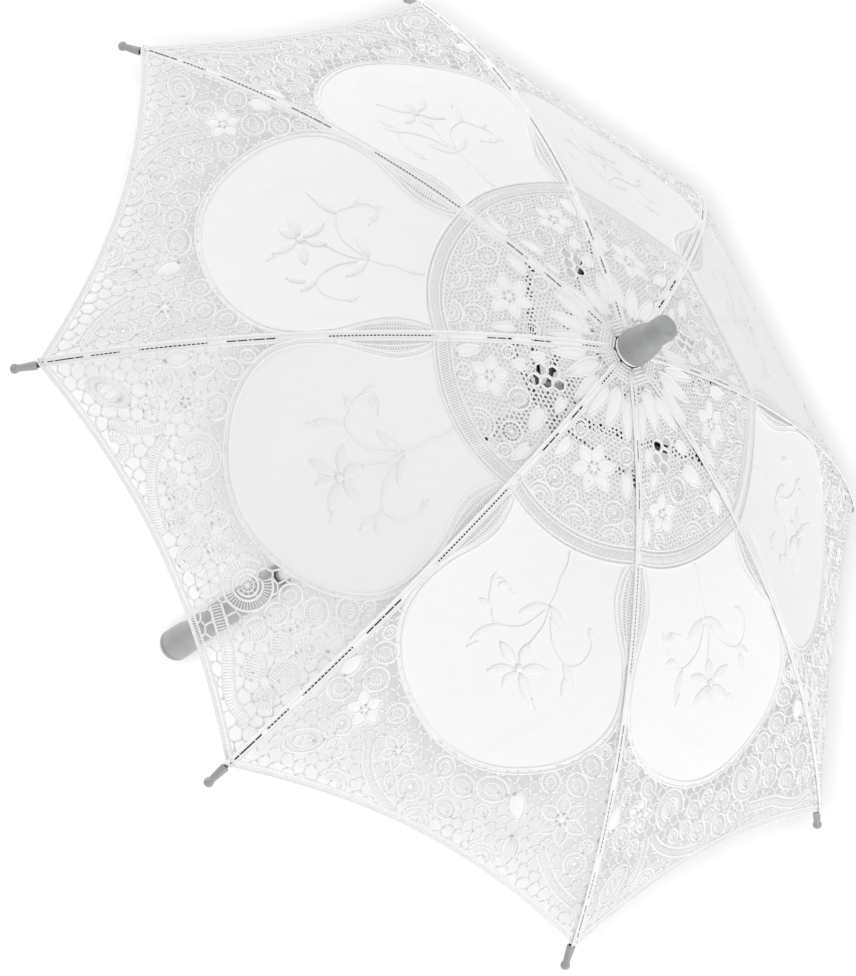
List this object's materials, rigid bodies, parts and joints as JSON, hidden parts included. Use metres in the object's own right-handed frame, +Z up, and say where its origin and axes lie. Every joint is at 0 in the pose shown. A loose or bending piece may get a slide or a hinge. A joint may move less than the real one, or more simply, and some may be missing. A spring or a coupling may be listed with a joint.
{
  "type": "lace parasol",
  "caption": "Small open lace parasol with curved steel ribs, a sliding runner, folding stretchers, a scalloped white canopy and a round plastic handle.",
  "frame": {"origin": "centre of the handle's flat lower end, on the shaft's axis", "axes": "+Z up along the shaft towards the ferrule; +X along the first rib, on the side of the catch"},
  "size_m": [0.5214, 0.5214, 0.4263],
  "materials": {
    "lace_cloth": "satin-faced cotton with openwork tape lace",
    "white_cloth": "plain woven",
    "grey_plastic": "moulded, soft sheen",
    "black_steel": "black enamel",
    "bright_steel": "drawn tube and wire"
  },
  "bodies": {
    "stem": {"shaft": "bright_steel", "handle_grip": "grey_plastic", "handle_end_cap": "grey_plastic", "ferrule": "grey_plastic", "canopy_washer": "white_cloth", "top_notch": "grey_plastic", "top_notch_wire": "bright_steel", "upper_stop_pin": "bright_steel", "lower_stop_ring": "bright_steel"},
    "slider": {"runner": "grey_plastic", "runner_wire": "bright_steel"},
    "catch": {"top_catch": "bright_steel"},
    "rib_arm_1": {"rib_1": "black_steel", "rib_tip_1": "grey_plastic", "rib_joint_1": "black_steel", "rivet_1": "bright_steel", "canopy_panel_1": "lace_cloth"},
    "stretcher_arm_1": {"stretcher_1": "black_steel"},
    "rib_arm_2": {"rib_2": "black_steel", "rib_tip_2": "grey_plastic", "rib_joint_2": "black_steel", "rivet_2": "bright_steel", "canopy_panel_2": "lace_cloth"},
    "stretcher_arm_2": {"stretcher_2": "black_steel"},
    "rib_arm_3": {"rib_3": "black_steel", "rib_tip_3": "grey_plastic", "rib_joint_3": "black_steel", "rivet_3": "bright_steel", "canopy_panel_3": "lace_cloth"},
    "stretcher_arm_3": {"stretcher_3": "black_steel"},
    "rib_arm_4": {"rib_4": "black_steel", "rib_tip_4": "grey_plastic", "rib_joint_4": "black_steel", "rivet_4": "bright_steel", "canopy_panel_4": "lace_cloth"},
    "stretcher_arm_4": {"stretcher_4": "black_steel"},
    "rib_arm_5": {"rib_5": "black_steel", "rib_tip_5": "grey_plastic", "rib_joint_5": "black_steel", "rivet_5": "bright_steel", "canopy_panel_5": "lace_cloth"},
    "stretcher_arm_5": {"stretcher_5": "black_steel"},
    "rib_arm_6": {"rib_6": "black_steel", "rib_tip_6": "grey_plastic", "rib_joint_6": "black_steel", "rivet_6": "bright_steel", "canopy_panel_6": "lace_cloth"},
    "stretcher_arm_6": {"stretcher_6": "black_steel"},
    "rib_arm_7": {"rib_7": "black_steel", "rib_tip_7": "grey_plastic", "rib_joint_7": "black_steel", "rivet_7": "bright_steel", "canopy_panel_7": "lace_cloth"},
    "stretcher_arm_7": {"stretcher_7": "black_steel"},
    "rib_arm_8": {"rib_8": "black_steel", "rib_tip_8": "grey_plastic", "rib_joint_8": "black_steel", "rivet_8": "bright_steel", "canopy_panel_8": "lace_cloth"},
    "stretcher_arm_8": {"stretcher_8": "black_steel"}
  },
  "joints": [
    {"name": "runner_slide", "type": "slide", "parent": "stem", "child": "slider", "axis": [0, 0, 1], "range_m": [-0.0622, 0], "deforming": ["canopy_panel_1", "canopy_panel_2", "canopy_panel_3", "canopy_panel_4", "canopy_panel_5", "canopy_panel_6", "canopy_panel_7", "canopy_panel_8", "top_catch"]},
    {"name": "catch_press", "type": "slide", "parent": "stem", "child": "catch", "axis": [1, 0, 0], "range_m": [-0.0022, 0]},
    {"name": "rib_hinge_1", "type": "hinge", "parent": "stem", "child": "rib_arm_1", "pos_m": [0.0062, 0, 0.3967], "axis": [0, 1, 0], "range_deg": [0, 65.2]},
    {"name": "stretcher_hinge_1", "type": "hinge", "parent": "rib_arm_1", "child": "stretcher_arm_1", "pos_m": [0.0581, 0, 0.38383], "axis": [0, 1, 0], "range_deg": [-106.5, 0]},
    {"name": "rib_hinge_2", "type": "hinge", "parent": "stem", "child": "rib_arm_2", "pos_m": [0.00438, 0.00438, 0.3967], "axis": [-0.7071, 0.7071, 0], "range_deg": [0, 65.2]},
    {"name": "stretcher_hinge_2", "type": "hinge", "parent": "rib_arm_2", "child": "stretcher_arm_2", "pos_m": [0.04109, 0.04109, 0.38383], "axis": [-0.7071, 0.7071, 0], "range_deg": [-106.5, 0]},
    {"name": "rib_hinge_3", "type": "hinge", "parent": "stem", "child": "rib_arm_3", "pos_m": [0, 0.0062, 0.3967], "axis": [-1, 0, 0], "range_deg": [0, 65.2]},
    {"name": "stretcher_hinge_3", "type": "hinge", "parent": "rib_arm_3", "child": "stretcher_arm_3", "pos_m": [0, 0.0581, 0.38383], "axis": [-1, 0, 0], "range_deg": [-106.5, 0]},
    {"name": "rib_hinge_4", "type": "hinge", "parent": "stem", "child": "rib_arm_4", "pos_m": [-0.00438, 0.00438, 0.3967], "axis": [-0.7071, -0.7071, 0], "range_deg": [0, 65.2]},
    {"name": "stretcher_hinge_4", "type": "hinge", "parent": "rib_arm_4", "child": "stretcher_arm_4", "pos_m": [-0.04109, 0.04109, 0.38383], "axis": [-0.7071, -0.7071, 0], "range_deg": [-106.5, 0]},
    {"name": "rib_hinge_5", "type": "hinge", "parent": "stem", "child": "rib_arm_5", "pos_m": [-0.0062, 0, 0.3967], "axis": [0, -1, 0], "range_deg": [0, 65.2]},
    {"name": "stretcher_hinge_5", "type": "hinge", "parent": "rib_arm_5", "child": "stretcher_arm_5", "pos_m": [-0.0581, 0, 0.38383], "axis": [0, -1, 0], "range_deg": [-106.5, 0]},
    {"name": "rib_hinge_6", "type": "hinge", "parent": "stem", "child": "rib_arm_6", "pos_m": [-0.00438, -0.00438, 0.3967], "axis": [0.7071, -0.7071, 0], "range_deg": [0, 65.2]},
    {"name": "stretcher_hinge_6", "type": "hinge", "parent": "rib_arm_6", "child": "stretcher_arm_6", "pos_m": [-0.04109, -0.04109, 0.38383], "axis": [0.7071, -0.7071, 0], "range_deg": [-106.5, 0]},
    {"name": "rib_hinge_7", "type": "hinge", "parent": "stem", "child": "rib_arm_7", "pos_m": [0, -0.0062, 0.3967], "axis": [1, 0, 0], "range_deg": [0, 65.2]},
    {"name": "stretcher_hinge_7", "type": "hinge", "parent": "rib_arm_7", "child": "stretcher_arm_7", "pos_m": [0, -0.0581, 0.38383], "axis": [1, 0, 0], "range_deg": [-106.5, 0]},
    {"name": "rib_hinge_8", "type": "hinge", "parent": "stem", "child": "rib_arm_8", "pos_m": [0.00438, -0.00438, 0.3967], "axis": [0.7071, 0.7071, 0], "range_deg": [0, 65.2]},
    {"name": "stretcher_hinge_8", "type": "hinge", "parent": "rib_arm_8", "child": "stretcher_arm_8", "pos_m": [0.04109, -0.04109, 0.38383], "axis": [0.7071, 0.7071, 0], "range_deg": [-106.5, 0]}
  ],
  "couplings": [
    {"joint": "rib_hinge_1", "follows": "runner_slide", "rad_per_m": -18.235},
    {"joint": "stretcher_hinge_1", "follows": "runner_slide", "rad_per_m": 29.782},
    {"joint": "rib_hinge_2", "follows": "runner_slide", "rad_per_m": -18.235},
    {"joint": "stretcher_hinge_2", "follows": "runner_slide", "rad_per_m": 29.782},
    {"joint": "rib_hinge_3", "follows": "runner_slide", "rad_per_m": -18.235},
    {"joint": "stretcher_hinge_3", "follows": "runner_slide", "rad_per_m": 29.782},
    {"joint": "rib_hinge_4", "follows": "runner_slide", "rad_per_m": -18.235},
    {"joint": "stretcher_hinge_4", "follows": "runner_slide", "rad_per_m": 29.782},
    {"joint": "rib_hinge_5", "follows": "runner_slide", "rad_per_m": -18.235},
    {"joint": "stretcher_hinge_5", "follows": "runner_slide", "rad_per_m": 29.782},
    {"joint": "rib_hinge_6", "follows": "runner_slide", "rad_per_m": -18.235},
    {"joint": "stretcher_hinge_6", "follows": "runner_slide", "rad_per_m": 29.782},
    {"joint": "rib_hinge_7", "follows": "runner_slide", "rad_per_m": -18.235},
    {"joint": "stretcher_hinge_7", "follows": "runner_slide", "rad_per_m": 29.782},
    {"joint": "rib_hinge_8", "follows": "runner_slide", "rad_per_m": -18.235},
    {"joint": "stretcher_hinge_8", "follows": "runner_slide", "rad_per_m": 29.782}
  ]
}
